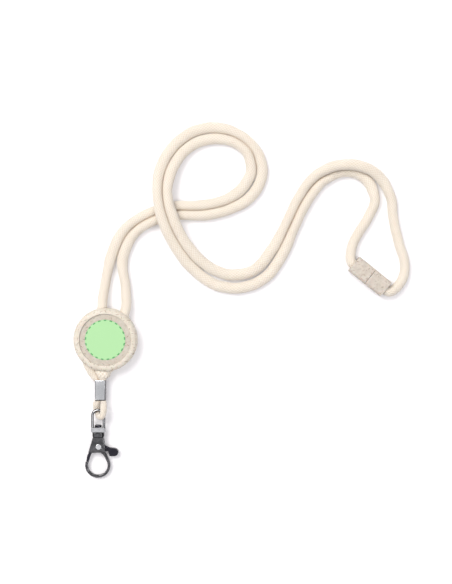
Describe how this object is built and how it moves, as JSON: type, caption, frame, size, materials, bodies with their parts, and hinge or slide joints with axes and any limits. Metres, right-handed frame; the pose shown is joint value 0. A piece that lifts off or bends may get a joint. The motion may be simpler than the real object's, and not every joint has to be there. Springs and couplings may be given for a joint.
{
  "type": "lanyard badge holder",
  "caption": "Braided cotton neck lanyard lying in a curve, with a round print disc, a crimp ferrule, a swivel lobster hook and a breakaway safety clasp.",
  "frame": {"origin": "centre of the print disc's back face, on the surface it lies on", "axes": "+Z out of the disc's print face, +Y from the disc towards the neck of the lanyard, -Y towards the hook"},
  "size_m": [0.1676, 0.1779, 0.0101],
  "materials": {
    "straw_plastic": "matt wheat-straw filled plastic with small brown flecks",
    "print_label": "satin print",
    "cotton_cord": "natural braided cotton",
    "nickel": "polished nickel plate",
    "dark_nickel": "dark nickel plate"
  },
  "bodies": {
    "lanyard": {"front_cover": "straw_plastic", "back_cover": "straw_plastic", "print_label": "print_label", "ferrule": "nickel", "cord_left": "cotton_cord", "cord_right": "cotton_cord", "cord_held_left": "cotton_cord", "cord_held_right": "cotton_cord", "cord_loop": "cotton_cord", "clasp_socket": "straw_plastic"},
    "eye": {"swivel_eye": "nickel"},
    "hook": {"hook_body": "nickel", "swivel_post": "dark_nickel", "trigger_pin": "nickel", "trigger_spring": "nickel"},
    "trigger": {"trigger": "dark_nickel"},
    "plug": {"clasp_plug": "straw_plastic", "cord_clasp_end": "cotton_cord"}
  },
  "joints": [
    {"name": "eye_swing", "type": "hinge", "parent": "lanyard", "child": "eye", "pos_m": [-0.0038, -0.0351, 0.0044], "axis": [1, 0, 0], "range_deg": [-90, 90], "deforming": ["cord_loop"]},
    {"name": "hook_swivel", "type": "hinge", "parent": "eye", "child": "hook", "pos_m": [-0.0038, -0.0351, 0.0044], "axis": [0, -0.9962, -0.0872], "continuous": true},
    {"name": "trigger_pull", "type": "hinge", "parent": "hook", "child": "trigger", "pos_m": [-0.0036, -0.05333, 0.00281], "axis": [0, -0.0872, 0.9962], "range_deg": [0, 22], "stiffness_Nm_per_rad": 0.02, "springref_deg": -28.65, "deforming": ["trigger_spring"]},
    {"name": "clasp_release", "type": "slide", "parent": "lanyard", "child": "plug", "axis": [0.7771, -0.6293, 0], "range_m": [0, 0.008]}
  ]
}
